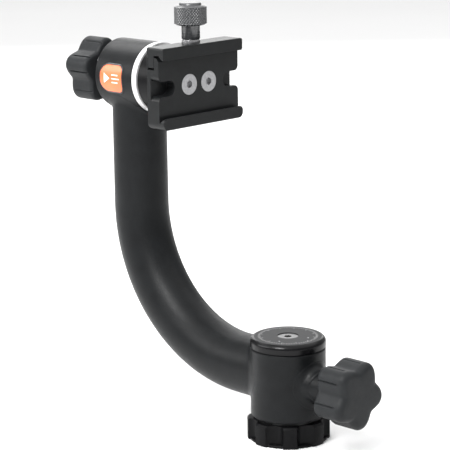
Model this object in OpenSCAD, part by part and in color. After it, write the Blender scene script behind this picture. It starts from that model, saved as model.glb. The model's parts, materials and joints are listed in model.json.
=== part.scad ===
/* [Pan base] */
// Diameter of the grip ring over its pads
ring_d = 47.4; // [45:0.2:64]
// Height of the grip ring
ring_h = 12.6; // [10:0.2:18]
// Number of grip pads round the ring
ring_pads = 8; // [6:1:10]
// Depth of the scallops between the pads
scallop_depth = 3.6; // [2:0.2:4.4]
// Diameter of the pan housing
pan_d = 43; // [40:0.5:60]
// Height of the pan housing
pan_h = 40; // [38:1:60]
// Thickness of the top cap
cap_t = 5.5; // [4.8:0.1:8]

/* [Arm] */
// Distance from the pan axis to the upright leg's axis
arm_reach = 119.6; // [105:0.5:160]
// Diameter of the arm tube
arm_d = 33.6; // [26:0.2:38]
// Wall of the arm tube
arm_wall = 4; // [2:0.5:6]
// Radius of the bend on the tube's centre line
bend_r = 85; // [50:1:88]
// Height of the tilt axis above the base
tilt_z = 198.5; // [165:0.5:260]

/* [Tilt head] */
// Diameter of the tilt housing
tilt_d = 41.8; // [38:0.2:56]
// Length of the tilt housing with its rear cover
tilt_len = 32.6; // [31:0.2:48]
// Width of the pale index ring
dial_w = 3.6; // [3:0.2:6]
// Diameter of the rotor
rotor_d = 40.5; // [34:0.5:56]
// Length of the rotor
rotor_len = 21.4; // [20:0.2:40]

/* [Clamp] */
// Length of the clamp along the dovetail
clamp_len = 64; // [52:0.2:90]
// Height of the clamp over both lips
clamp_h = 47; // [46:0.5:54]
// Thickness of the clamp from its rear face to the seat
seat_t = 9.5; // [8.9:0.1:14]
// Height of the lips in front of the seat
lip_t = 3.9; // [3:0.1:5]
// Height of the upper lip
upper_lip = 7; // [6.4:0.1:9]
// Height of the lower lip
lower_lip = 7; // [6:0.1:9]
// Width of the pockets in the clamp's ends
pocket_w = 8.8; // [5:0.2:12]
// Depth of the pockets in the clamp's ends
pocket_depth = 12.6; // [7:0.1:13]

/* [Knobs] */
// Diameter of the star knobs over their lobes
star_d = 39.8; // [34:0.2:48]
// Length of the star knobs
star_len = 20.2; // [17:0.2:26]
// Diameter of the knurled clamp knob
knurl_d = 19; // [15:0.5:26]
// Length of the knurled part
knurl_len = 11.2; // [8:0.2:16]

/* [Fits] */
// Radial clearance of running fits
run_gap = 0.05; // [0.02:0.01:0.1]
// Clearance of flat sliding faces
slide_gap = 0.1; // [0.05:0.01:0.2]
// Gap between turning faces
turn_gap = 0.4; // [0.3:0.05:0.6]

/* [Hidden] */
$fn = 96;
eps = 0.5;

// Pan stack, from the bottom up
thread_r = 4.76;                       // 3/8"-16 nominal radius
thread_len = 13;
flange_h = 1.6;
flange_r = ring_d / 2 - 1.2;
hub_r = 7.5;                           // threaded hub of the spindle
seat_r = 15;                           // spindle flange let into the ring
seat_h = 5.6;
neck_h = 1.4;
neck_r = ring_d / 2 - 4.3;
pan_r = pan_d / 2;
pan_z0 = ring_h + neck_h + turn_gap - 0.1;
pan_z1 = pan_z0 + pan_h;
cap_z0 = pan_z1 + turn_gap + 0.05;
cap_z1 = cap_z0 + cap_t;
cap_r = pan_r + 0.2;

// Pan bearings: 20 mm bore, 32 mm outside, 7 mm wide
brg_bore_r = 10;
pan_brg_r = 16;
pan_brg_w = 7;
pan_ball_r = 1.7;
pan_pitch_r = 13;
pan_balls = 14;
pan_brg_z0 = pan_z0 + 2;
pan_brg_z1 = pan_z1 - 1.8 - pan_brg_w;
drum_r = 12;
pan_bore_r = 14.2;
base_screw_r = 2;                       // M4, on a 12 mm circle
base_screw_at = 12;

// Arm
arm_r = arm_d / 2;
arm_z = pan_z0 + 22.8;                 // axis of the level leg
plug_len = 14;
bolt_r = 3;                            // M6
sunk = 0.4;                            // depth of the cap screw's head below the cap
head_r = 6;                            // M6 countersunk head
key_r = 4 / sqrt(3);                   // 4 mm hexagon across its corners

// Tilt stack along X, rear to front
tilt_r = tilt_d / 2;
cover_t = 3;
small_screw_at = 17;                   // radius of the cover's and the index ring's screw circles
cover_screw_r = 1.5;                   // M3
dial_screw_r = 1.25;                   // M2.5
tilt_x0 = -arm_reach - tilt_len / 2;
tilt_x1 = tilt_x0 + tilt_len;
shell_x0 = tilt_x0 + cover_t;
dial_x1 = tilt_x1 + dial_w;
rotor_x0 = dial_x1 + turn_gap;
rotor_x1 = rotor_x0 + rotor_len;
rotor_r = rotor_d / 2;
socket_len = 6.8;                      // spindle let into the rotor
socket_r = 8;
clamp_screw_len = seat_t + 12.5;

// Tilt bearings: 20 mm bore, 27 mm outside, 4 mm wide
tilt_brg_r = 13.5;
tilt_brg_w = 4;
tilt_ball_r = 1.1;
tilt_pitch_r = 11.75;
tilt_balls = 18;
tilt_brg_front = tilt_x1 - tilt_brg_w;
tilt_brg_rear = shell_x0 + 2.9;
tilt_bore_r = 12.6;
spindle_x0 = shell_x0 + 0.9;
circlip_t = 1.2;

// Clamp, along X from its rear face
clamp_x0 = rotor_x1;
seat_x = clamp_x0 + seat_t;
lip_x = seat_x + lip_t;
clamp_z0 = tilt_z - clamp_h / 2 - 0.4;
clamp_z1 = clamp_z0 + clamp_h;
land = 0.9;                            // flat nose of each lip
bevel = lip_t - land;
jaw_plate = 4.3;
jaw_shut = 1.1;                        // travel left for closing
jaw_open = 5.5;                        // travel for opening
tongue_gap = 0.25;
tongue_x0 = clamp_x0 + 1.05;
tongue_t = 4.6;
tongue_h = 11.5;
tongue_notch = 10;
groove_floor = clamp_z1 - tongue_h - jaw_shut - slide_gap;
jaw_x0 = clamp_x0 + slide_gap;          // rear face, clear of the rotor
body_top = clamp_z1 - jaw_plate - jaw_shut - 2 * slide_gap;
screw_x = tongue_x0 + tongue_t / 2;
jaw_screw_r = 2.5;                     // M5
screw_reach = jaw_open + 15;           // below the groove's floor
pocket_z = tilt_z - 0.5;
clamp_screw_y = 7.8;
pin_y = 15;
pin_r = 1.5;
pin_hold = 8;                          // length held in the jaw
pin_reach = 9;                         // length running in the body
spring_r = 2.3;
wire_r = 0.3;
spring_seat = groove_floor - 6.3;
web_t = 2.8;

// Knobs and locks
stud_r = 4;                            // M8
lock_z = pan_z0 + 20.9;
boss_r = 9;
boss_x1 = pan_r + 10.5;
pan_knob_x = pan_r + 13.7;
shoe_r = 6;
shoe_len = 6.4;
lock_travel = 1.25;                    // one turn of the M8 stud
pad_r = 8.5;
pad_t = 3;
tilt_knob_x = tilt_x0 - 9.9;
boss_x0 = tilt_x0 - 8.4;
washer_t = 1.8;
washer_r = 5.3;
knob_z0 = clamp_z1 + washer_t;
shaft_len = 8.3;
shaft_r = 5.4;

// Turns a shape drawn about Z so that its Z axis runs along +X
module along_x(x = 0, y = 0, z = tilt_z) {
    translate([x, y, z]) rotate([0, 90, 0]) children();
}

// Cylinder about X between two places
module rod_x(x0, x1, r, y = 0, z = tilt_z) {
    along_x(x0, y, z) cylinder(h = x1 - x0, r = r);
}

// Solid of revolution about Z with chamfered ends
module drum(z0, z1, r, bottom, top) {
    rotate_extrude() polygon([
        [0, z0], [r - bottom, z0], [r, z0 + bottom], [r, z1 - top], [r - top, z1], [0, z1]
    ]);
}

// Rectangle with wide rounds at -X and tight ones at +X
module badge_outline(w, h, wide_r, tight_r) {
    difference() {
        square([w, h], center = true);
        for (s = [0, 1]) mirror([0, s]) {
            translate([-w / 2, -h / 2]) corner_cut(wide_r);
            translate([w / 2, -h / 2]) mirror([1, 0]) corner_cut(tight_r);
        }
    }
}

// What is cut away to round a square corner at the origin, the material lying at +X +Y
module corner_cut(r) {
    difference() {
        translate([-eps, -eps]) square(r + eps);
        translate([r, r]) circle(r = r);
    }
}

// Countersunk socket screw, its head's face at z = 0 and its shank downwards
module countersunk(len, r = bolt_r, hr = head_r, key = key_r) {
    difference() {
        rotate_extrude() polygon([[0, -len], [r, -len], [r, -(hr - r)], [hr, 0], [0, 0]]);
        translate([0, 0, -(hr - r) * 0.8]) cylinder(h = hr, r = key, $fn = 6);
    }
}

// Room for a countersunk screw
module countersink(len, r = bolt_r, hr = head_r) {
    rotate_extrude() polygon([
        [0, -len], [r, -len], [r, -(hr - r)], [hr, 0], [hr, 3 * eps], [0, 3 * eps]
    ]);
}

module ring(z0, h, r_in, r_out) {
    rotate_extrude() translate([r_in, z0]) square([r_out - r_in, h]);
}

// Bearing pieces, from z = 0 up
module inner_race(w, pitch_r, ball_r) {
    rotate_extrude() difference() {
        translate([brg_bore_r, 0]) square([pitch_r - ball_r * 0.55 - brg_bore_r, w]);
        translate([pitch_r, w / 2]) circle(r = ball_r + run_gap);
    }
}

module outer_race(w, pitch_r, ball_r, outer_r) {
    rotate_extrude() difference() {
        translate([pitch_r + ball_r * 0.55, 0])
            square([outer_r - pitch_r - ball_r * 0.55, w]);
        translate([pitch_r, w / 2]) circle(r = ball_r + run_gap);
    }
}

module balls(w, pitch_r, ball_r, count) {
    for (i = [0 : count - 1])
        rotate([0, 0, i * 360 / count]) translate([pitch_r, 0, w / 2])
            sphere(r = ball_r, $fn = 32);
}

module ball_cage(w, pitch_r, ball_r, count) {
    difference() {
        ring(w / 2 - ball_r * 1.15, ball_r * 2.3, pitch_r - ball_r * 0.3, pitch_r + ball_r * 0.3);
        for (i = [0 : count - 1])
            rotate([0, 0, i * 360 / count]) translate([pitch_r - ball_r, 0, w / 2])
                rotate([0, 90, 0]) cylinder(h = 2 * ball_r, r = ball_r + run_gap, $fn = 32);
    }
}

// Five-lobed grip, its rear face at z = 0
module star_outline() {
    core_r = star_d * 0.385;
    lobe_r = star_d * 0.172;
    circle(r = core_r);
    for (i = [0 : 4])
        rotate(i * 72) translate([star_d / 2 - lobe_r, 0]) circle(r = lobe_r);
}

module star_grip(collar_len) {
    edge = 3.4;
    core_h = star_len * 0.7;
    difference() {
        union() {
            intersection() {
                linear_extrude(star_len) star_outline();
                rotate_extrude() {
                    square([star_d / 2 - edge, star_len]);
                    translate([0, edge]) square([star_d / 2, star_len - 2 * edge]);
                    for (h = [edge, star_len - edge])
                        translate([star_d / 2 - edge, h]) circle(r = edge);
                }
            }
            translate([0, 0, -collar_len]) cylinder(h = collar_len + eps, r = 6.5);
        }
        translate([0, 0, -collar_len - eps])
            cylinder(h = collar_len + eps + core_h, r = stud_r - run_gap);
    }
}

// Stud of a star knob, from its tip at z = 0
module knob_stud(len) {
    rotate_extrude() polygon([
        [0, 0], [stud_r - 0.8, 0], [stud_r - run_gap, 0.8], [stud_r - run_gap, len], [0, len]
    ]);
}

// ---- Pan base ----

module base_ring() {
    cut_r = 6.4;
    color("dimgray") difference() {
        union() {
            intersection() {
                drum(0, ring_h, ring_d / 2, 0.6, 1);
                linear_extrude(ring_h) difference() {
                    circle(r = ring_d / 2);
                    for (i = [0 : ring_pads - 1])
                        rotate((i + 0.5) * 360 / ring_pads)
                            translate([ring_d / 2 - scallop_depth + cut_r, 0])
                                circle(r = cut_r);
                }
            }
            drum(0, flange_h, flange_r, 0.4, 0.4);
        }
        translate([0, 0, -eps]) cylinder(h = ring_h, r = hub_r);
        translate([0, 0, ring_h - seat_h]) cylinder(h = seat_h + eps, r = seat_r);
        for (i = [0 : 2]) rotate([0, 0, i * 120 + 30]) translate([base_screw_at, 0, 0])
            mirror([0, 0, 1]) translate([0, 0, -eps / 5]) countersink(9, base_screw_r, 4);
    }
}

module base_screws() {
    color("silver") for (i = [0 : 2])
        rotate([0, 0, i * 120 + 30]) translate([base_screw_at, 0, eps / 5])
            mirror([0, 0, 1]) countersunk(8.8, base_screw_r, 4, 2.5 / sqrt(3));
}

module pan_spindle() {
    top = cap_z0;
    color("lightgray") difference() {
        rotate_extrude() polygon([
            [0, 0], [hub_r, 0], [hub_r, ring_h - seat_h], [seat_r, ring_h - seat_h],
            [seat_r, ring_h], [neck_r, ring_h], [neck_r, ring_h + neck_h],
            [drum_r - 0.6, ring_h + neck_h], [drum_r - 0.6, pan_brg_z0], [brg_bore_r, pan_brg_z0],
            [brg_bore_r, pan_brg_z0 + pan_brg_w], [drum_r - 0.6, pan_brg_z0 + pan_brg_w],
            [drum_r - 0.6, pan_brg_z0 + pan_brg_w + 1], [drum_r, pan_brg_z0 + pan_brg_w + 1],
            [drum_r, pan_brg_z1 - 1], [brg_bore_r, pan_brg_z1 - 1], [brg_bore_r, top], [0, top]
        ]);
        translate([0, 0, -eps]) cylinder(h = thread_len + eps, r = thread_r);
        translate([0, 0, top - 15]) cylinder(h = 15 + eps, r = bolt_r);
        for (i = [0 : 2]) rotate([0, 0, i * 120 + 30])
            translate([base_screw_at, 0, ring_h - seat_h - eps])
                cylinder(h = 3 + eps, r = base_screw_r);
    }
}

module pan_housing() {
    color("dimgray") difference() {
        union() {
            drum(pan_z0, pan_z1, pan_r, 0.6, 0.8);
            intersection() {
                along_x(0, 0, lock_z) rotate_extrude() polygon([
                    [0, pan_bore_r + 2], [boss_r + 3.2, pan_bore_r + 2], [boss_r + 2.2, pan_r - 2],
                    [boss_r + 0.6, pan_r + 3], [boss_r, boss_x1 - 0.6], [boss_r - 0.6, boss_x1],
                    [0, boss_x1]
                ]);
                translate([0, -50, pan_z0]) cube([100, 100, pan_h]);
            }
        }
        translate([0, 0, pan_z0 - eps]) cylinder(h = pan_brg_z0 + pan_brg_w - pan_z0 + eps, r = pan_brg_r);
        translate([0, 0, pan_z0]) cylinder(h = pan_h - 2, r = pan_bore_r);
        translate([0, 0, pan_brg_z1]) cylinder(h = pan_z1 - pan_brg_z1 + eps, r = pan_brg_r);
        rod_x(pan_bore_r - 4, drum_r + shoe_len + lock_travel + 0.4, shoe_r + run_gap, 0, lock_z);
        rod_x(pan_bore_r, boss_x1 + eps, stud_r, 0, lock_z);
        translate([-pan_bore_r - 0.2, 0, arm_z]) rotate([0, -90, 0])
            mirror([0, 0, 1]) countersink(pan_r, bolt_r, head_r);
    }
}

module pan_cap() {
    edge = 3;
    color("dimgray") difference() {
        rotate_extrude() {
            translate([0, cap_z0]) square([cap_r, cap_t - edge]);
            translate([0, cap_z0]) square([cap_r - edge, cap_t]);
            translate([cap_r - edge, cap_z1 - edge]) intersection() {
                circle(r = edge);
                square(edge);
            }
        }
        translate([0, 0, cap_z1 - sunk]) countersink(cap_t + 2, bolt_r, head_r);
    }
}

module cap_screw() {
    color("silver") translate([0, 0, cap_z1 - sunk]) countersunk(16, bolt_r, head_r);
}

module cap_spacer() {
    color("silver") ring(pan_brg_z1 + pan_brg_w, cap_z0 - pan_brg_z1 - pan_brg_w, brg_bore_r, 12.4);
}

module pan_inner_races() {
    color("gainsboro") for (z = [pan_brg_z0, pan_brg_z1])
        translate([0, 0, z]) inner_race(pan_brg_w, pan_pitch_r, pan_ball_r);
}

module pan_outer_races() {
    color("gainsboro") for (z = [pan_brg_z0, pan_brg_z1])
        translate([0, 0, z]) outer_race(pan_brg_w, pan_pitch_r, pan_ball_r, pan_brg_r);
}

module pan_ball_cages() {
    color("goldenrod") for (z = [pan_brg_z0, pan_brg_z1])
        translate([0, 0, z]) ball_cage(pan_brg_w, pan_pitch_r, pan_ball_r, pan_balls);
}

module pan_balls() {
    color("silver") for (z = [pan_brg_z0, pan_brg_z1])
        translate([0, 0, z]) balls(pan_brg_w, pan_pitch_r, pan_ball_r, pan_balls);
}

module pan_brake_shoe() {
    color("goldenrod") difference() {
        rod_x(drum_r - 2, drum_r + shoe_len, shoe_r, 0, lock_z);
        cylinder(h = pan_z1, r = drum_r + run_gap);
    }
}

module pan_knob_stud() {
    tip = drum_r + shoe_len;
    color("silver") along_x(tip, 0, lock_z) knob_stud(pan_knob_x + star_len * 0.7 - tip);
}

module pan_knob_grip() {
    color("darkslategray") along_x(pan_knob_x, 0, lock_z) rotate([0, 0, 6])
        star_grip(pan_knob_x - boss_x1 - turn_gap);
}

// ---- Arm ----

// The bent bar of the given radius, without its saddle cuts
module arm_bar(r, x1, z1) {
    rod_x(bend_r - arm_reach - eps / 50, x1, r, 0, arm_z);
    translate([bend_r - arm_reach, 0, arm_z + bend_r]) rotate([90, 0, 0])
        rotate_extrude(angle = 90, start = 180) translate([bend_r, 0]) circle(r = r);
    translate([-arm_reach, 0, arm_z + bend_r - eps / 50])
        cylinder(h = z1 - arm_z - bend_r + eps / 50, r = r);
}

module pan_saddle() {
    translate([0, 0, pan_z0 - 10]) cylinder(h = pan_h + 20, r = pan_r);
}

module tilt_saddle() {
    rod_x(tilt_x0 - 5, tilt_x1 + 5, tilt_r);
}

module arm_tube() {
    color("dimgray") difference() {
        arm_bar(arm_r, 0, tilt_z);
        arm_bar(arm_r - arm_wall, eps, tilt_z + eps);
        pan_saddle();
        tilt_saddle();
    }
}

module arm_plug_lower() {
    color("silver") difference() {
        rod_x(-pan_r - plug_len + 4, 0, arm_r - arm_wall, 0, arm_z);
        pan_saddle();
        rod_x(-pan_r - plug_len, 0, bolt_r, 0, arm_z);
    }
}

module arm_plug_upper() {
    color("silver") difference() {
        translate([-arm_reach, 0, tilt_z - tilt_r - plug_len + 4])
            cylinder(h = tilt_r + plug_len - 4, r = arm_r - arm_wall);
        tilt_saddle();
        translate([-arm_reach, 0, tilt_z - tilt_r - plug_len])
            cylinder(h = tilt_r + plug_len, r = bolt_r);
    }
}

module arm_bolt_lower() {
    color("silver") translate([-pan_bore_r - 0.2, 0, arm_z]) rotate([0, 90, 0])
        countersunk(pan_r - pan_bore_r + 9);
}

module arm_bolt_upper() {
    color("silver") translate([-arm_reach, 0, tilt_z - tilt_bore_r - 0.2])
        countersunk(tilt_r - tilt_bore_r + 9);
}

// ---- Tilt head ----

module tilt_housing() {
    color("dimgray") difference() {
        along_x() drum(shell_x0, tilt_x1, tilt_r, 0.01, 0.4);
        rod_x(shell_x0 - eps, tilt_brg_rear + tilt_brg_w, tilt_brg_r);
        rod_x(shell_x0, tilt_x1 - 1, tilt_bore_r);
        rod_x(tilt_brg_front, tilt_x1 + eps, tilt_brg_r);
        translate([-arm_reach, 0, tilt_z - tilt_bore_r - 0.2]) countersink(tilt_r);
        for (i = [0 : 2]) {
            along_x(shell_x0 - eps) rotate([0, 0, i * 120]) translate([small_screw_at, 0, 0])
                cylinder(h = 6 + eps, r = cover_screw_r);
            along_x(tilt_x1 - 6) rotate([0, 0, i * 120 + 60]) translate([small_screw_at, 0, 0])
                cylinder(h = 6 + eps, r = dial_screw_r);
        }
    }
}

module tilt_rear_cover() {
    color("dimgray") difference() {
        union() {
            along_x() rotate_extrude() polygon([
                [0, boss_x0], [7.6, boss_x0], [8.4, boss_x0 + 0.8], [10, tilt_x0], [tilt_r - 1.2, tilt_x0],
                [tilt_r, tilt_x0 + 1.2], [tilt_r, shell_x0], [0, shell_x0]
            ]);
            rod_x(shell_x0 - eps, tilt_brg_rear, tilt_brg_r);
        }
        rod_x(shell_x0, tilt_brg_rear + eps, brg_bore_r + 2.2);
        rod_x(shell_x0 - pad_t - lock_travel, shell_x0 + eps, pad_r + run_gap);
        rod_x(boss_x0 - eps, shell_x0, stud_r);
        for (i = [0 : 2]) along_x(tilt_x0) rotate([0, 0, i * 120]) translate([small_screw_at, 0, 0])
            mirror([0, 0, 1]) countersink(cover_t + 1, cover_screw_r, 3);
    }
}

module rear_cover_screws() {
    color("silver") for (i = [0 : 2]) along_x(tilt_x0) rotate([0, 0, i * 120])
        translate([small_screw_at, 0, 0]) mirror([0, 0, 1]) countersunk(8, cover_screw_r, 3, 2 / sqrt(3));
}

module tilt_badge() {
    badge_t = 0.7;
    color("orange") intersection() {
        difference() {
            rod_x(tilt_x0, tilt_x1, tilt_r + badge_t);
            rod_x(tilt_x0 - eps, tilt_x1 + eps, tilt_r);
        }
        translate([-arm_reach - 1.4, 0, tilt_z]) rotate([90, 0, 0])
            linear_extrude(tilt_r + 5) badge_outline(18.8, 16.2, 6.8, 3.4);
    }
}

module index_ring() {
    color("whitesmoke") difference() {
        along_x() drum(tilt_x1, dial_x1, tilt_r, 0.01, 0.3);
        rod_x(tilt_x1 - eps, dial_x1 + eps, tilt_bore_r);
        for (i = [0 : 2]) along_x(dial_x1) rotate([0, 0, i * 120 + 60])
            translate([small_screw_at, 0, 0]) countersink(dial_w + 1, dial_screw_r, 2.5);
    }
}

module index_ring_screws() {
    color("silver") for (i = [0 : 2]) along_x(dial_x1) rotate([0, 0, i * 120 + 60])
        translate([small_screw_at, 0, 0]) countersunk(dial_w + 4.5, dial_screw_r, 2.5, 1.5 / sqrt(3));
}

module tilt_rotor() {
    color("dimgray") difference() {
        along_x() drum(rotor_x0, rotor_x1, rotor_r, 0.5, 0.01);
        rod_x(rotor_x0 - eps, rotor_x0 + socket_len, socket_r);
        for (s = [-1, 1])
            rod_x(seat_x - clamp_screw_len - 1.1, rotor_x1 + eps, bolt_r, s * clamp_screw_y);
    }
}

module tilt_spindle() {
    color("lightgray") difference() {
        union() {
            rod_x(spindle_x0, tilt_x1, brg_bore_r);
            rod_x(tilt_x1, rotor_x0, drum_r - 0.4);
            rod_x(rotor_x0, rotor_x0 + socket_len, socket_r);
        }
        along_x(tilt_brg_rear - circlip_t) ring(0, circlip_t, brg_bore_r - 0.6, brg_bore_r + eps);
    }
}

module tilt_circlip() {
    color("darkgray") along_x(tilt_brg_rear - circlip_t)
        ring(0, circlip_t, brg_bore_r - 0.6, brg_bore_r + 1.6);
}

module tilt_inner_races() {
    color("gainsboro") for (x = [tilt_brg_rear, tilt_brg_front])
        along_x(x) inner_race(tilt_brg_w, tilt_pitch_r, tilt_ball_r);
}

module tilt_outer_races() {
    color("gainsboro") for (x = [tilt_brg_rear, tilt_brg_front])
        along_x(x) outer_race(tilt_brg_w, tilt_pitch_r, tilt_ball_r, tilt_brg_r);
}

module tilt_ball_cages() {
    color("goldenrod") for (x = [tilt_brg_rear, tilt_brg_front])
        along_x(x) ball_cage(tilt_brg_w, tilt_pitch_r, tilt_ball_r, tilt_balls);
}

module tilt_balls() {
    color("silver") for (x = [tilt_brg_rear, tilt_brg_front])
        along_x(x) balls(tilt_brg_w, tilt_pitch_r, tilt_ball_r, tilt_balls);
}

module tilt_brake_pad() {
    color("goldenrod") rod_x(spindle_x0 - run_gap - pad_t, spindle_x0 - run_gap, pad_r);
}

module tilt_knob_stud() {
    tip = spindle_x0 - run_gap - pad_t;
    color("silver") along_x(tip) mirror([0, 0, 1])
        knob_stud(tip - tilt_knob_x + star_len * 0.7);
}

module tilt_knob_grip() {
    color("darkslategray") along_x(tilt_knob_x) mirror([0, 0, 1]) rotate([0, 0, 37])
        star_grip(boss_x0 - turn_gap - tilt_knob_x);
}

// ---- Clamp ----

// Draws an outline of X and Z and runs it along the dovetail
module along_clamp(len = clamp_len) {
    translate([0, len / 2, 0]) rotate([90, 0, 0]) linear_extrude(len) children();
}

module clamp_body() {
    lip_z = clamp_z0 + lower_lip;
    front_chamfer = 2.2;
    end_round = 3.6;
    groove_x0 = tongue_x0 - tongue_gap;
    groove_x1 = tongue_x0 + tongue_t + tongue_gap;
    lip_round = 2.6;
    color("dimgray") difference() {
        along_clamp() difference() {
            polygon([
                [clamp_x0, clamp_z0], [lip_x, clamp_z0], [lip_x, lip_z], [lip_x - land, lip_z],
                [seat_x, lip_z - bevel], [seat_x, body_top - front_chamfer],
                [seat_x - front_chamfer, body_top], [clamp_x0, body_top]
            ]);
            translate([groove_x0, groove_floor])
                square([groove_x1 - groove_x0, clamp_h]);
            translate([clamp_x0, clamp_z0]) corner_cut(2.6);
            translate([lip_x, clamp_z0]) mirror([1, 0]) corner_cut(0.8);
        }
        for (s = [0, 1]) mirror([0, s, 0]) {
            translate([clamp_x0 - eps, -clamp_len / 2, clamp_z0]) rotate([90, 0, 90])
                linear_extrude(seat_t + lip_t + 2 * eps) corner_cut(end_round);
            translate([seat_x, -clamp_len / 2, lip_z]) mirror([0, 0, 1]) rotate([90, 0, 90])
                linear_extrude(lip_t + eps) corner_cut(lip_round);
            translate([clamp_x0 + web_t, 0, 0]) rotate([90, 0, 90])
                linear_extrude(seat_t + lip_t) end_pocket();
            rod_x(clamp_x0 - eps, seat_x, bolt_r, clamp_screw_y);
            along_x(seat_x, clamp_screw_y) countersink(seat_t + eps);
            translate([screw_x, pin_y, groove_floor - pin_reach - jaw_shut - 0.4])
                cylinder(h = pin_reach + jaw_shut + 0.4 + eps, r = pin_r + run_gap);
            translate([screw_x, pin_y, spring_seat])
                cylinder(h = groove_floor - spring_seat + eps, r = spring_r + 0.15);
        }
        translate([screw_x, 0, groove_floor - screw_reach - jaw_shut - 1])
            cylinder(h = clamp_h, r = jaw_screw_r);
    }
}

// Round-ended slot in the clamp's end, drawn in Y and Z, open at -Y, with eased mouth corners
module end_pocket() {
    mouth_r = 3;
    y0 = -clamp_len / 2;
    translate([0, pocket_z]) {
        translate([y0 + pocket_depth - pocket_w / 2, 0]) circle(r = pocket_w / 2);
        translate([y0 - eps, -pocket_w / 2])
            square([pocket_depth - pocket_w / 2 + eps, pocket_w]);
        for (s = [0, 1]) mirror([0, s]) translate([y0, pocket_w / 2]) corner_cut(mouth_r);
    }
}

module clamp_screws() {
    color("silver") for (s = [-1, 1])
        along_x(seat_x, s * clamp_screw_y) countersunk(clamp_screw_len);
}

module clamp_jaw() {
    lip_z = clamp_z1 - upper_lip;
    end_round = 1.2;
    color("dimgray") difference() {
        along_clamp() difference() {
            polygon([
                [jaw_x0, clamp_z1], [lip_x, clamp_z1], [lip_x, lip_z], [lip_x - land, lip_z],
                [seat_x - 0.2, lip_z + bevel + 0.2], [seat_x - 0.2, clamp_z1 - jaw_plate],
                [tongue_x0 + tongue_t, clamp_z1 - jaw_plate], [tongue_x0 + tongue_t, clamp_z1 - tongue_h],
                [tongue_x0, clamp_z1 - tongue_h], [tongue_x0, clamp_z1 - jaw_plate],
                [jaw_x0, clamp_z1 - jaw_plate]
            ]);
            translate([lip_x, clamp_z1]) rotate(180) corner_cut(0.8);
        }
        for (s = [0, 1]) mirror([0, s, 0]) {
            translate([clamp_x0 - eps, -clamp_len / 2, clamp_z1]) mirror([0, 0, 1])
                rotate([90, 0, 90]) linear_extrude(seat_t + lip_t + 2 * eps) corner_cut(end_round);
            translate([seat_x, -clamp_len / 2, lip_z]) rotate([90, 0, 90])
                linear_extrude(lip_t + eps) corner_cut(end_round);
            translate([screw_x, pin_y, clamp_z1 - tongue_h - eps])
                cylinder(h = pin_hold + eps, r = pin_r);
        }
        translate([tongue_x0 - eps, -tongue_notch / 2, clamp_z1 - tongue_h - eps])
            cube([tongue_t + 2 * eps, tongue_notch, tongue_h - jaw_plate + eps]);
        translate([screw_x, 0, clamp_z1 - tongue_h]) cylinder(h = tongue_h + eps, r = jaw_screw_r + run_gap);
    }
}

module jaw_guide_pins() {
    color("silver") for (s = [-1, 1])
        translate([screw_x, s * pin_y, groove_floor - pin_reach])
            cylinder(h = pin_reach + jaw_shut + slide_gap + pin_hold, r = pin_r);
}

// Coil spring of round wire standing on z = 0
module coil_spring(h, r, wire, turns) {
    sides = 8;
    steps = 16 * turns;
    rise = h - 2 * wire;
    function at(i) = i / steps;
    points = [
        for (i = [0 : steps], j = [0 : sides - 1])
            let (a = 360 * turns * at(i), b = 360 * j / sides, p = r - wire + wire * cos(b))
                [p * cos(a), p * sin(a), wire + rise * at(i) + wire * sin(b)]
    ];
    walls = [
        for (i = [0 : steps - 1], j = [0 : sides - 1])
            let (k = (j + 1) % sides)
                [i * sides + j, (i + 1) * sides + j, (i + 1) * sides + k, i * sides + k]
    ];
    ends = [
        [for (j = [0 : sides - 1]) j],
        [for (j = [0 : sides - 1]) steps * sides + sides - 1 - j]
    ];
    polyhedron(points, concat(walls, ends), convexity = 8);
}

module jaw_springs() {
    color("silver") for (s = [-1, 1])
        translate([screw_x, s * pin_y, spring_seat + 0.02])
            coil_spring(clamp_z1 - tongue_h - spring_seat - 0.04, spring_r, wire_r, 5);
}

module clamp_washer() {
    color("silver") translate([screw_x, 0, 0]) difference() {
        drum(clamp_z1, knob_z0, washer_r, 0.01, 0.4);
        translate([0, 0, clamp_z1 - eps]) cylinder(h = washer_t + 2 * eps, r = jaw_screw_r + run_gap);
    }
}

module clamp_knob() {
    shaft_top = knob_z0 + shaft_len;
    head_top = shaft_top + knurl_len;
    grooves = 28;
    color("dimgray") translate([screw_x, 0, 0]) {
        translate([0, 0, groove_floor - screw_reach])
            cylinder(h = knob_z0 - groove_floor + screw_reach + eps, r = jaw_screw_r - run_gap);
        translate([0, 0, knob_z0]) cylinder(h = shaft_len + eps, r = shaft_r);
        difference() {
            drum(shaft_top, head_top, knurl_d / 2, 1, 1);
            for (i = [0 : grooves - 1]) rotate([0, 0, i * 360 / grooves])
                translate([knurl_d / 2 + 0.35, 0, shaft_top - eps])
                    cylinder(h = knurl_len + 2 * eps, r = 0.75, $fn = 4);
        }
        drum(head_top - eps, head_top + 1.6, knurl_d * 0.34, 0.01, 1.2);
    }
}

base_ring();
base_screws();
pan_spindle();
pan_housing();
pan_cap();
cap_screw();
cap_spacer();
pan_inner_races();
pan_outer_races();
pan_ball_cages();
pan_balls();
pan_brake_shoe();
pan_knob_stud();
pan_knob_grip();
arm_tube();
arm_plug_lower();
arm_plug_upper();
arm_bolt_lower();
arm_bolt_upper();
tilt_housing();
tilt_rear_cover();
rear_cover_screws();
tilt_badge();
index_ring();
index_ring_screws();
tilt_rotor();
tilt_spindle();
tilt_circlip();
tilt_inner_races();
tilt_outer_races();
tilt_ball_cages();
tilt_balls();
tilt_brake_pad();
tilt_knob_stud();
tilt_knob_grip();
clamp_body();
clamp_screws();
clamp_jaw();
jaw_guide_pins();
jaw_springs();
clamp_washer();
clamp_knob();
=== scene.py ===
"""Looks of a side-mount gimbal tripod head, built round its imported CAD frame. Lengths are in metres."""
import json
import math

import bmesh
import bpy
from mathutils import Matrix, Vector


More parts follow.
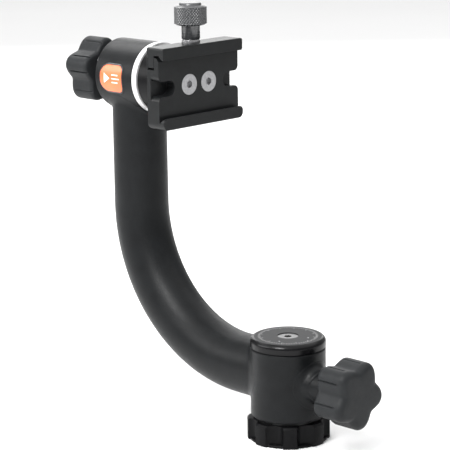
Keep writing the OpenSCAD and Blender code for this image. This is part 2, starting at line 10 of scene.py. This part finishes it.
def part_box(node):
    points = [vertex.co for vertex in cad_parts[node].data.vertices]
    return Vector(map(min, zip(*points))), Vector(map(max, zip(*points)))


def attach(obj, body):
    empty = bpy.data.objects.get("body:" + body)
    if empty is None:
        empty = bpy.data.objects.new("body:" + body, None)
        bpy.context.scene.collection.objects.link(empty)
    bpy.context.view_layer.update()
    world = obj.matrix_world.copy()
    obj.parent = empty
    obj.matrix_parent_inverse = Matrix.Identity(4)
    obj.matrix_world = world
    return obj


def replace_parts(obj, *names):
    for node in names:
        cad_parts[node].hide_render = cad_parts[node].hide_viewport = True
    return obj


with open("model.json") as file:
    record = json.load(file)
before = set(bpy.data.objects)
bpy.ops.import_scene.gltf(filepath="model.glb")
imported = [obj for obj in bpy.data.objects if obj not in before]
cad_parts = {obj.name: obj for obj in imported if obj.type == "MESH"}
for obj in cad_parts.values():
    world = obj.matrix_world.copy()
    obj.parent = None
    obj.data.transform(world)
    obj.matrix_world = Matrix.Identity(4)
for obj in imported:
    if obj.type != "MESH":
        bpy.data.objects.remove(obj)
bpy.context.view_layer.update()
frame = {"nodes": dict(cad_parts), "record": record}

MM = 0.001


# ---- Places read from the frame ----

def joint(name):
    return next(j for j in frame["record"]["behaviour"]["joints"] if j["name"] == name)


def corners(node):
    low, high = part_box(node)
    return Vector(low), Vector(high)


pan_low, pan_high = corners("pan_housing")
cap_high = corners("pan_cap")[1]
arm_low, arm_high = corners("arm_tube")
shell_low, shell_high = corners("tilt_housing")
washer_high = corners("clamp_washer")[1]
knob_low, knob_high = corners("clamp_knob")
badge_low, badge_high = corners("tilt_badge")

TILT_Z = joint("tilt")["pos_m"][2]
LOCK_Z = joint("pan_knob_turn")["pos_m"][2]
SCREW_X = joint("clamp_knob_turn")["pos_m"][0]
PAN_R = pan_high.y
TILT_R = shell_high.y
ARM_R = arm_high.y
ARM_Z = arm_low.z + ARM_R
REACH = -arm_low.x - ARM_R
BEND_R = 85 * MM
COVER_T = 3 * MM


# ---- Mesh helpers ----

def add_mesh(name, points, faces, look, body):
    """A smooth mesh piece that wears a material and rides on a body."""
    mesh = bpy.data.meshes.new(name)
    mesh.from_pydata([tuple(p) for p in points], [], faces)
    work = bmesh.new()
    work.from_mesh(mesh)
    bmesh.ops.recalc_face_normals(work, faces=work.faces)
    work.to_mesh(mesh)
    work.free()
    mesh.shade_smooth()
    mesh.materials.append(look)
    piece = bpy.data.objects.new(name, mesh)
    bpy.context.scene.collection.objects.link(piece)
    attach(piece, body)
    return piece


def loft(name, rings, look, body, hollow=False):
    """A skin over matching rings, closed by a flat face at both ends, or joined end to end if hollow."""
    points = [p for ring in rings for p in ring]
    size, count = len(rings[0]), len(rings)
    faces = []
    for k in range(count if hollow else count - 1):
        near, far = k * size, (k + 1) % count * size
        faces += [[near + i, near + (i + 1) % size, far + (i + 1) % size, far + i] for i in range(size)]
    if not hollow:
        faces += [list(range(size)), list(range((count - 1) * size, count * size))]
    return add_mesh(name, points, faces, look, body)


def turns(count):
    return [2 * math.pi * k / count for k in range(count)]


def polar(radius, angle):
    return radius * math.cos(angle), radius * math.sin(angle)


def lerp(a, b, t):
    return a + (b - a) * t


def smooth(t):
    t = min(1, max(0, t))
    return t * t * (3 - 2 * t)


# ---- Materials ----

class Paint:
    """A node material: a Principled shader with room to wire colour, roughness and bump into it."""

    def __init__(self, name, colour, roughness, metallic=0.0, **inputs):
        self.material = bpy.data.materials.new(name)
        self.material.use_nodes = True
        self.nodes = self.material.node_tree.nodes
        self.links = self.material.node_tree.links
        self.shader = self.nodes["Principled BSDF"]
        self.shader.inputs["Base Color"].default_value = (*colour, 1)
        self.shader.inputs["Roughness"].default_value = roughness
        self.shader.inputs["Metallic"].default_value = metallic
        for key, value in inputs.items():
            self.shader.inputs[key.replace("_", " ")].default_value = value
        self.where = self.nodes.new("ShaderNodeTexCoord").outputs["Object"]
        self.normal = None

    def node(self, kind, inputs=None, **settings):
        made = self.nodes.new(kind)
        for key, value in settings.items():
            setattr(made, key, value)
        for key, value in (inputs or {}).items():
            if isinstance(value, bpy.types.NodeSocket):
                self.links.new(value, made.inputs[key])
            else:
                made.inputs[key].default_value = value
        return made

    def noise(self, size, detail=3.0, rough=0.5, stretch=(1, 1, 1)):
        where = self.node("ShaderNodeMapping", {"Vector": self.where, "Scale": stretch}).outputs[0]
        return self.node("ShaderNodeTexNoise", {
            "Vector": where, "Scale": 1 / size, "Detail": detail, "Roughness": rough
        }).outputs["Fac"]

    def ramp(self, value, stops):
        made = self.node("ShaderNodeValToRGB", {"Fac": value})
        line = made.color_ramp
        while len(line.elements) < len(stops):
            line.elements.new(0.5)
        for element, (place, colour) in zip(line.elements, stops):
            element.position = place
            element.color = (*colour, 1)
        return made.outputs["Color"]

    def scale(self, value, low, high):
        return self.node("ShaderNodeMapRange", {
            "Value": value, "To Min": low, "To Max": high
        }).outputs["Result"]

    def colour(self, socket):
        self.links.new(socket, self.shader.inputs["Base Color"])

    def roughness(self, socket):
        self.links.new(socket, self.shader.inputs["Roughness"])

    def soften(self, radius):
        """Rounds hard edges in the shading by the given radius."""
        self.normal = self.node("ShaderNodeBevel", {"Radius": radius}, samples=4).outputs["Normal"]
        self.links.new(self.normal, self.shader.inputs["Normal"])

    def bump(self, height, depth, strength=1.0):
        made = self.node("ShaderNodeBump", {"Height": height, "Distance": depth, "Strength": strength})
        if self.normal:
            self.links.new(self.normal, made.inputs["Normal"])
        self.normal = made.outputs["Normal"]
        self.links.new(self.normal, self.shader.inputs["Normal"])


def powder_coat(name, shade=(0.0056, 0.0062, 0.0068), rough=0.4, grain=0.9 * MM):
    paint = Paint(name, shade, rough, Specular_IOR_Level=0.15)
    paint.soften(0.5 * MM)
    dark = tuple(c * 0.86 for c in shade)
    light = tuple(c * 1.25 for c in shade)
    paint.colour(paint.ramp(paint.noise(9 * MM, 4), [(0.3, dark), (0.7, light)]))
    paint.roughness(paint.scale(paint.noise(3 * MM, 5), rough - 0.08, rough + 0.1))
    paint.bump(paint.noise(grain, 2.5, 0.6), 0.09 * MM, 0.9)
    return paint.material


def anodised(name, shade=(0.007, 0.0076, 0.008), rough=0.34, shine=0.2):
    paint = Paint(name, shade, rough, Specular_IOR_Level=shine)
    paint.soften(0.3 * MM)
    light = tuple(c * 1.3 for c in shade)
    paint.colour(paint.ramp(paint.noise(6 * MM, 4), [(0.35, shade), (0.75, light)]))
    lines = paint.noise(0.5 * MM, 3, 0.6, (1, 0.06, 1))
    paint.roughness(paint.scale(lines, rough - 0.06, rough + 0.1))
    paint.bump(paint.noise(0.2 * MM, 2, 0.6), 0.012 * MM, 0.7)
    return paint.material


def steel(name, shade=(0.46, 0.46, 0.47), rough=0.28):
    paint = Paint(name, shade, rough, 1.0)
    paint.soften(0.15 * MM)
    dull = tuple(c * 0.8 for c in shade)
    paint.colour(paint.ramp(paint.noise(1.4 * MM, 4), [(0.3, dull), (0.7, shade)]))
    paint.roughness(paint.scale(paint.noise(0.4 * MM, 4), rough - 0.07, rough + 0.14))
    paint.bump(paint.noise(0.25 * MM, 2), 0.006 * MM, 0.6)
    return paint.material


def rubber(name, shade=(0.0135, 0.0145, 0.0155), rough=0.48):
    paint = Paint(name, shade, rough, Specular_IOR_Level=0.16)
    light = tuple(c * 1.3 for c in shade)
    paint.colour(paint.ramp(paint.noise(7 * MM, 5), [(0.3, shade), (0.75, light)]))
    paint.roughness(paint.scale(paint.noise(2.2 * MM, 4), rough - 0.07, rough + 0.12))
    paint.bump(paint.noise(0.3 * MM, 3, 0.65), 0.03 * MM, 0.7)
    return paint.material


def plain_metal(name, shade, rough, metallic=1.0):
    paint = Paint(name, shade, rough, metallic)
    dull = tuple(c * 0.85 for c in shade)
    paint.colour(paint.ramp(paint.noise(2 * MM, 3), [(0.3, dull), (0.7, shade)]))
    paint.roughness(paint.scale(paint.noise(0.8 * MM, 3), rough - 0.05, rough + 0.1))
    return paint.material


def pale_ring(name):
    """Pearl white anodising with fine turning marks."""
    paint = Paint(name, (0.78, 0.78, 0.78), 0.34, 0.25)
    paint.soften(0.2 * MM)
    paint.colour(paint.ramp(paint.noise(4 * MM, 4), [(0.3, (0.56, 0.56, 0.565)), (0.7, (0.66, 0.66, 0.66))]))
    paint.roughness(paint.scale(paint.noise(0.5 * MM, 4), 0.26, 0.42))
    paint.bump(paint.noise(0.16 * MM, 2, 0.5, (1, 0.05, 0.05)), 0.01 * MM, 0.6)
    return paint.material


def cap_finish(name):
    """Fine matt face with a polished, rounded edge."""
    paint = Paint(name, (0.02, 0.02, 0.021), 0.2, Specular_IOR_Level=0.2)
    height = paint.node("ShaderNodeSeparateXYZ", {"Vector": paint.where}).outputs["Z"]
    face = paint.node("ShaderNodeMapRange", {
        "Value": height, "From Min": cap_high.z - 0.12 * MM, "From Max": cap_high.z - 0.03 * MM
    }).outputs["Result"]
    paint.colour(paint.ramp(face, [(0.2, (0.003, 0.003, 0.0035)), (0.8, (0.018, 0.0184, 0.0195))]))
    grain = paint.noise(0.5 * MM, 3, 0.6)
    matt = paint.scale(face, 0.24, 0.56)
    paint.roughness(paint.node("ShaderNodeMath", {0: matt, 1: paint.scale(grain, -0.03, 0.05)},
                               operation="ADD").outputs[0])
    paint.bump(grain, 0.01 * MM, 0.5)
    return paint.material


def print_ink(name):
    paint = Paint(name, (0.4, 0.4, 0.4), 0.5)
    paint.colour(paint.ramp(paint.noise(1.2 * MM, 4), [(0.3, (0.34, 0.34, 0.34)), (0.7, (0.48, 0.48, 0.48))]))
    return paint.material


def enamel(name, shade, edge):
    paint = Paint(name, shade, 0.34, Coat_Weight=0.4, Coat_Roughness=0.22)
    paint.colour(paint.ramp(paint.noise(8 * MM, 3), [(0.25, edge), (0.75, shade)]))
    paint.bump(paint.noise(2.5 * MM, 2), 0.02 * MM, 0.4)
    return paint.material


COAT = powder_coat("powder_coat")
BLACK = anodised("black_anodised")
BASE_BLACK = anodised("gloss_anodised", (0.003, 0.003, 0.0034), 0.3, 0.1)
KNURL_BLACK = anodised("knurl_anodised", (0.03, 0.031, 0.033), 0.26, 0.8)
RUBBER = rubber("moulded_rubber")
STEEL = steel("stainless_steel")
# The cap screw's steel is rougher, and its colour is painted darker than the other screws' steel. That lower
# colour is painted shade, which holds down the back strip's reflection.
SHADED_CAP_STEEL = steel("rough_steel_painted_shade", (0.2, 0.2, 0.2), 0.4)
ALUMINIUM = plain_metal("raw_aluminium", (0.6, 0.6, 0.61), 0.35)
BRASS = plain_metal("turned_brass", (0.7, 0.5, 0.22), 0.3)
NYLON = plain_metal("cage_nylon", (0.7, 0.62, 0.42), 0.5, 0.0)
PALE = pale_ring("pale_anodising")
CAP = cap_finish("cap_finish")
INK = print_ink("scale_print")
ORANGE = enamel("orange_enamel", (0.85, 0.16, 0.045), (0.78, 0.12, 0.03))
POINTER = enamel("pointer_enamel", (0.8, 0.78, 0.74), (0.7, 0.68, 0.64))
RIM = plain_metal("badge_rim", (0.02, 0.02, 0.022), 0.3, 0.0)

LOOKS = {
    "black_powder_coat": COAT,
    "anodised_black": BLACK,
    "raw_aluminium": ALUMINIUM,
    "stainless_steel": STEEL,
    "black_rubber": RUBBER,
    "brass": BRASS,
    "cage_nylon": NYLON,
    "pale_anodised": PALE,
    "orange_enamel": ORANGE,
}


def dress_nodes():
    # The cap screw wears the darker steel copy, whose colour is painted shade.
    own = {"pan_cap": CAP, "cap_screw": SHADED_CAP_STEEL, "base_ring": BASE_BLACK, "tilt_rotor": BASE_BLACK}
    for row in frame["record"]["subparts"]:
        node = frame["nodes"][row["node"]]
        look = own.get(row["node"], LOOKS[row["material_slot"]])
        if not node.material_slots:
            node.data.materials.append(look)
        for place in node.material_slots:
            place.material = look


# ---- Arm ----

PAN_FILLET = 3 * MM
TILT_FILLET = 2.4 * MM
BOSS_R = 9.9 * MM
BOSS_FILLET = 4.2 * MM
BOSS_INSET = -0.8 * MM
ARM_SIDES = 96


def tube_radius(share):
    """The cast tube tapers slightly from the pan end to the tilt end."""
    return lerp(1.042, 0.958, share) * ARM_R


def fillet(size, steps=9):
    """Pairs of growth in radius and height above the housing, from the tube to the housing's surface."""
    for i in range(steps):
        bend = math.pi / 2 * i / (steps - 1)
        yield size * (1 - math.cos(bend)), size * (1 - math.sin(bend))


def pan_foot(radius, height):
    """A ring that follows the pan housing's wall at a height above it."""
    ring = []
    for a in turns(ARM_SIDES):
        y = radius * math.sin(a)
        z = min(pan_high.z - 0.2 * MM, max(pan_low.z + 0.4 * MM, ARM_Z + radius * math.cos(a)))
        ring.append((-math.sqrt(PAN_R ** 2 - y ** 2) - height, y, z))
    return ring


def tilt_foot(radius, height):
    """The same under the tilt housing, kept within its length."""
    ring = []
    for a in turns(ARM_SIDES):
        y = radius * math.sin(a)
        x = -REACH + radius * math.cos(a)
        x = min(shell_high.x - 0.2 * MM, max(shell_low.x - COVER_T + 0.4 * MM, x))
        ring.append((x, y, TILT_Z - math.sqrt(TILT_R ** 2 - y ** 2) - height))
    return ring


def arm():
    centre = Vector((BEND_R - REACH, 0, ARM_Z + BEND_R))
    start, end = -PAN_R - 8 * MM, TILT_Z - TILT_R - 7 * MM
    path = [((lerp(start, centre.x, i / 3), 0, ARM_Z), 0.0) for i in range(3)]
    for i in range(49):
        bend = math.pi / 2 * i / 48
        spot = centre - BEND_R * Vector((math.sin(bend), 0, math.cos(bend)))
        path.append((spot, bend))
    path += [((-REACH, 0, lerp(centre.z, end, i / 5)), math.pi / 2) for i in range(1, 6)]
    rings = [pan_foot(tube_radius(0) + PAN_FILLET, -2 * MM)]
    rings += [pan_foot(tube_radius(0) + grow, height) for grow, height in reversed(list(fillet(PAN_FILLET)))]
    for i, (spot, bend) in enumerate(path):
        inward = Vector((math.sin(bend), 0, math.cos(bend)))
        radius = tube_radius(i / (len(path) - 1))
        rings.append([
            Vector(spot) + radius * (math.cos(a) * inward + Vector((0, math.sin(a), 0)))
            for a in turns(ARM_SIDES)
        ])
    rings += [tilt_foot(tube_radius(1) + grow, height) for grow, height in fillet(TILT_FILLET)]
    rings.append(tilt_foot(tube_radius(1) + TILT_FILLET, -2 * MM))
    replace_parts(loft("curved_arm", rings, COAT, "arm"), "arm_tube")


def boss_skirt():
    """The smooth flare between the lock boss and the pan housing's wall."""
    rings = []
    under = -1.5 * MM
    steps = [(BOSS_INSET, 7 * MM), *fillet(BOSS_FILLET, 12), (BOSS_FILLET, under), (BOSS_INSET, under)]
    for grow, height in steps:
        ring = []
        for a in turns(72):
            y = (BOSS_R + grow) * math.cos(a)
            z = LOCK_Z + (BOSS_R + grow) * math.sin(a)
            ring.append((math.sqrt(PAN_R ** 2 - y ** 2) + height, y, z))
        rings.append(ring)
    loft("pan_boss_flare", rings, COAT, "arm", hollow=True)


# ---- Star knobs ----

LOBES = 5
GRIP_TURNS = 600
GRIP_LENGTH = 20.2 * MM
GRIP_R = 19.9 * MM
GRIP_VALLEY = 0.77
COLLAR_R = 6.5 * MM
PAD_EDGE = math.radians(15)
CREASE = math.radians(1.05)


def lobe_outline(angle, radius):
    """Distance of the grip's outline from its axis: broad round lobes and shallow valleys."""
    wave = 0.5 + 0.5 * math.cos(LOBES * angle)
    return radius * lerp(GRIP_VALLEY, 1, wave ** 0.85)


def crease(angle, share):
    """Depth share of the grooves that bound each lobe's pad; they fade before the front face."""
    step = 2 * math.pi / LOBES
    offset = abs((angle + step / 2) % step - step / 2)
    return math.exp(-((offset - PAD_EDGE) / CREASE) ** 2) * smooth((0.76 - share) / 0.06)


def grip_profile(radius):
    """Pairs of inset from the outline and distance from the rear face, from the collar to the front."""
    rear_round, front_round = 2.4 * MM, 4.4 * MM
    steps = [((radius - COLLAR_R) * t, 0.0) for t in (1, 0.8, 0.6, 0.45, 0.3)]
    for i in range(8):
        bend = math.pi / 2 * i / 7
        steps.append((rear_round * (1 - math.sin(bend)), rear_round * (1 - math.cos(bend))))
    for i in range(1, 30):
        steps.append((0.0, lerp(rear_round, GRIP_LENGTH - front_round, i / 29)))
    for i in range(1, 11):
        bend = math.pi / 2 * i / 10
        steps.append((front_round * (1 - math.cos(bend)), GRIP_LENGTH - front_round * (1 - math.sin(bend))))
    for t in (0.35, 0.5, 0.65, 0.8, 0.92, 0.99):
        steps.append((radius * t, GRIP_LENGTH + 0.25 * MM * math.sin(t * math.pi / 2)))
    return steps


def star_grip(name, node, outward, axis_z, turn, body):
    """A soft five-lobed grip on a level axis; outward is +1 or -1 along X."""
    low, high = corners(node)
    radius = GRIP_R
    rear = (high.x if outward > 0 else low.x) - outward * GRIP_LENGTH
    rings = []
    for inset, along in grip_profile(radius):
        ring = []
        for angle in turns(GRIP_TURNS):
            edge = lobe_outline(angle, radius)
            reach = (edge - inset) if inset < 0.25 * radius else edge * (1 - inset / radius)
            if inset < 1.2 * MM:
                reach -= 1.2 * MM * crease(angle, along / GRIP_LENGTH)
            y, z = polar(reach, turn + angle)
            ring.append((rear + outward * along, y, axis_z + z))
        rings.append(ring)
    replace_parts(loft(name, rings, RUBBER, body), node)


# ---- Clamp knob ----

DIAMONDS = 34
DIAMOND_H = 1.9 * MM
KNURL_DEPTH = 0.6 * MM
KNOB_SIDES = DIAMONDS * 12


def diamond(angle, height):
    """Share of the knurl's depth left standing: pyramids between two crossed sets of grooves."""
    across = DIAMONDS * angle / (2 * math.pi)
    along = height / DIAMOND_H
    one, two = (abs(2 * ((across + s * along) % 1) - 1) for s in (1, -1))
    return 1 - max(one, two) ** 1.4


def knob_ring(radius, z, knurl=0.0):
    ring = []
    for a in turns(KNOB_SIDES):
        cut = KNURL_DEPTH * knurl * (1 - diamond(a, z)) if knurl else 0
        x, y = polar(radius - cut, a)
        ring.append((SCREW_X + x, y, z))
    return ring


def clamp_knob():
    head_r = knob_high.y
    foot = washer_high.z
    top = knob_high.z
    head_top = top - 1.6 * MM
    head = head_top - 11.2 * MM
    rings = [knob_ring(3 * MM, foot), knob_ring(5 * MM, foot), knob_ring(5.4 * MM, foot + 0.4 * MM),
             knob_ring(5.4 * MM, head - 0.5 * MM), knob_ring(5.8 * MM, head),
             knob_ring(head_r - 1.2 * MM, head), knob_ring(head_r - 0.3 * MM, head + 0.7 * MM)]
    rows = 64
    for i in range(rows + 1):
        z = lerp(head + 0.8 * MM, head_top - 0.8 * MM, i / rows)
        rings.append(knob_ring(head_r, z, smooth(min(i, rows - i) / 3)))
    rings += [knob_ring(head_r - 0.3 * MM, head_top - 0.7 * MM), knob_ring(head_r - 1.1 * MM, head_top)]
    rings += [knob_ring(r * head_r, z) for r, z in (
        (0.72, head_top), (0.68, head_top + 0.2 * MM), (0.67, top - 0.5 * MM), (0.64, top - 0.15 * MM),
        (0.58, top), (0.1, top)
    )]
    knob = loft("knurled_knob", rings, KNURL_BLACK, "jaw_knob")
    screw = []
    steps = 300
    for i in range(steps + 1):
        z = lerp(knob_low.z, foot + 0.5 * MM, i / steps)
        ring = []
        for a in turns(24):
            wave = abs(2 * ((z / (0.8 * MM) - a / (2 * math.pi)) % 1) - 1)
            x, y = polar(lerp(2.05, 2.42, wave) * MM, a)
            ring.append((SCREW_X + x, y, z))
        screw.append(ring)
    loft("jaw_screw", screw, STEEL, "jaw_knob")
    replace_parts(knob, "clamp_knob")


# ---- Badge ----

BADGE_CORNERS = ((1, 1, 3.4 * MM), (-1, 1, 6.8 * MM), (-1, -1, 6.8 * MM), (1, -1, 3.4 * MM))
BADGE_X = (badge_low.x + badge_high.x) / 2
BADGE_W = badge_high.x - badge_low.x
BADGE_H = badge_high.z - badge_low.z


def badge_loop(grow=0.0, share=1.0, lift=0.0):
    """The badge's outline laid on the tilt housing, grown, shrunk to a share, and lifted off the wall."""
    flat = []
    for sx, sz, corner in BADGE_CORNERS:
        cx = sx * (BADGE_W / 2 - corner)
        cz = sz * (BADGE_H / 2 - corner)
        start = math.pi / 2 * BADGE_CORNERS.index((sx, sz, corner))
        for i in range(13):
            x, z = polar(corner + grow, start + math.pi / 2 * i / 12)
            flat.append(((cx + x) * share, (cz + z) * share))
    loop = []
    for i, (x, z) in enumerate(flat):
        nx, nz = flat[(i + 1) % len(flat)]
        for part in range(3):
            px, pz = lerp(x, nx, part / 3), lerp(z, nz, part / 3)
            y = -math.sqrt((TILT_R + lift) ** 2 - pz ** 2)
            loop.append((BADGE_X + px, y, TILT_Z + pz))
    return loop


def badge():
    """A domed enamel plate in a dark rim."""
    plate = [badge_loop(-0.1 * MM, 1, -0.3 * MM)]
    for edge, height in ((0, 0.35 * MM), (0.1 * MM, 0.5 * MM), (0.35 * MM, 0.6 * MM)):
        plate.append(badge_loop(-0.1 * MM - edge, 1, height))
    for share in (0.97, 0.85, 0.7, 0.5, 0.3, 0.1):
        plate.append(badge_loop(-0.4 * MM, share, 0.62 * MM + 0.05 * MM * (1 - share)))
    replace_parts(loft("badge_plate", plate, ORANGE, "arm"), "tilt_badge")
    rim = [badge_loop(g, 1, h) for g, h in (
        (-0.2 * MM, -0.2 * MM), (-0.2 * MM, 0.45 * MM), (0.0, 0.55 * MM), (0.3 * MM, 0.5 * MM),
        (0.6 * MM, 0.25 * MM), (0.75 * MM, -0.2 * MM)
    )]
    loft("badge_rim", rim, RIM, "arm")


def badge_mark(name, outline):
    """A thin raised print on the badge, from an outline in the badge's own plane."""
    cx, cz = (sum(c) / len(outline) for c in zip(*outline))
    edge = [(lerp(x, nx, part / 6), lerp(z, nz, part / 6))
            for (x, z), (nx, nz) in zip(outline, outline[1:] + outline[:1]) for part in range(6)]
    rings = []
    for share, lift in ((1, 0.55), (1, 0.72), (0.9, 0.74), (0.6, 0.76), (0.3, 0.77), (0.05, 0.78)):
        ring = []
        for x, z in edge:
            px, pz = lerp(cx, x, share), lerp(cz, z, share)
            ring.append((BADGE_X + px, -math.sqrt((TILT_R + lift * MM) ** 2 - pz ** 2), TILT_Z + pz))
        rings.append(ring)
    loft(name, rings, POINTER, "arm")


def badge_marks():
    """A plain pointer toward the pale ring, and three bars beside it."""
    tip, back, half = -0.8 * MM, -5.6 * MM, 3 * MM
    badge_mark("badge_pointer", [(tip, 0), (back, half), (back, -half)])
    for i, length in enumerate((5.2, 6.4, 5.2)):
        low, high = (i - 1) * 2.2 * MM - 0.35 * MM, (i - 1) * 2.2 * MM + 0.35 * MM
        near, far = 1 * MM, (1 + length) * MM
        badge_mark("badge_bar_" + str(i + 1), [(near, low), (far, low), (far, high), (near, high)])


# ---- Cap scale ----

TICKS = 72


def cap_scale():
    """A ring of printed degree ticks on the pan cap, with two dots a quarter turn apart."""
    points, faces = [], []

    def patch(outline):
        first = len(points)
        points.extend((x, y, cap_high.z + 0.02 * MM) for x, y in outline)
        points.extend((x, y, cap_high.z - 0.05 * MM) for x, y in outline)
        count = len(outline)
        faces.append([first + i for i in range(count)])
        faces.append([first + count + i for i in reversed(range(count))])
        for i in range(count):
            j = (i + 1) % count
            faces.append([first + j, first + i, first + count + i, first + count + j])

    for i in range(TICKS):
        inner = (14.6 if i % 6 == 0 else 15.8) * MM
        angle = 2 * math.pi * i / TICKS
        half = 0.14 * MM
        corners_2d = []
        for radius, side in ((inner, -half), (17.2 * MM, -half), (17.2 * MM, half), (inner, half)):
            x, y = polar(radius, angle)
            corners_2d.append((x - side * math.sin(angle), y + side * math.cos(angle)))
        patch(corners_2d)
    for angle in (math.radians(-70), math.radians(20)):
        cx, cy = polar(12.4 * MM, angle)
        patch([(cx + 0.5 * MM * math.cos(a), cy + 0.5 * MM * math.sin(a)) for a in turns(24)])
    add_mesh("cap_scale", points, faces, INK, "base")


# ---- Scene ----

def stage():
    bpy.ops.mesh.primitive_plane_add(size=24)
    floor = bpy.context.object
    floor.name = "floor"
    paint = Paint("studio_floor", (0.86, 0.86, 0.86), 0.8)
    paint.colour(paint.ramp(paint.noise(0.4, 2), [(0.3, (0.85, 0.85, 0.85)), (0.7, (0.87, 0.87, 0.87))]))
    floor.data.materials.append(paint.material)
    world = bpy.data.worlds.new("studio")
    bpy.context.scene.world = world
    bpy.context.scene.view_settings.view_transform = "Standard"
    world.use_nodes = True
    back = world.node_tree.nodes["Background"]
    back.inputs["Color"].default_value = (1, 1, 1, 1)
    back.inputs["Strength"].default_value = 0.42


def softbox(name, place, target, size, power):
    lamp = bpy.data.lights.new(name, "AREA")
    lamp.shape = "RECTANGLE"
    lamp.size, lamp.size_y = size
    lamp.energy = power
    holder = bpy.data.objects.new(name, lamp)
    bpy.context.scene.collection.objects.link(holder)
    place = Vector(place)
    aim = (Vector(target) - place).to_track_quat("-Z", "Y")
    holder.matrix_world = Matrix.Translation(place) @ aim.to_matrix().to_4x4()


def camera():
    """A long lens a metre off, at the object's front right, a little above it."""
    place = Vector((0.7091, -0.7635, 0.3639))
    yaw, pitch, roll = (math.radians(a) for a in (44.80, 12.91, -0.85))
    ahead = Vector((-math.sin(yaw) * math.cos(pitch), math.cos(yaw) * math.cos(pitch), -math.sin(pitch)))
    right = Vector((math.cos(yaw), math.sin(yaw), 0))
    up = right.cross(ahead)
    side = math.cos(roll) * right + math.sin(roll) * up
    top = math.cos(roll) * up - math.sin(roll) * right
    data = bpy.data.cameras.new("camera")
    data.sensor_width = 36
    data.lens = 152.5
    data.clip_start = 0.01
    holder = bpy.data.objects.new("camera", data)
    bpy.context.scene.collection.objects.link(holder)
    turn = Matrix((side, top, -ahead)).transposed().to_4x4()
    holder.matrix_world = Matrix.Translation(place) @ turn
    bpy.context.scene.camera = holder


stage()
camera()
softbox("ceiling", (0, 0, 2.5), (0, 0, 0), (6, 6), 140)
softbox("back_strip", (-1.15, 1.1, 0.62), (-0.05, 0, 0.2), (1.3, 0.7), 6.5)
softbox("front_key", (0.11, -0.62, 0.69), (-0.08, 0, 0.1), (0.3, 0.3), 8)
softbox("left_key", (-0.75, -0.6, 0.46), (-0.14, 0, 0.2), (0.35, 0.35), 2.1)
softbox("left_top", (-0.73, 0.13, 0.82), (-0.13, 0, 0.2), (0.35, 0.35), 2.2)
softbox("arm_fill", (-0.41, -0.68, 0.5), (-0.05, 0, 0.06), (0.3, 0.3), 1.8)
dress_nodes()
arm()
boss_skirt()
star_grip("pan_star_grip", "pan_knob_grip", 1, LOCK_Z, math.radians(-12), "pan_knob")
star_grip("tilt_star_grip", "tilt_knob_grip", -1, TILT_Z, math.radians(91), "tilt_knob")
clamp_knob()
badge()
badge_marks()
cap_scale()
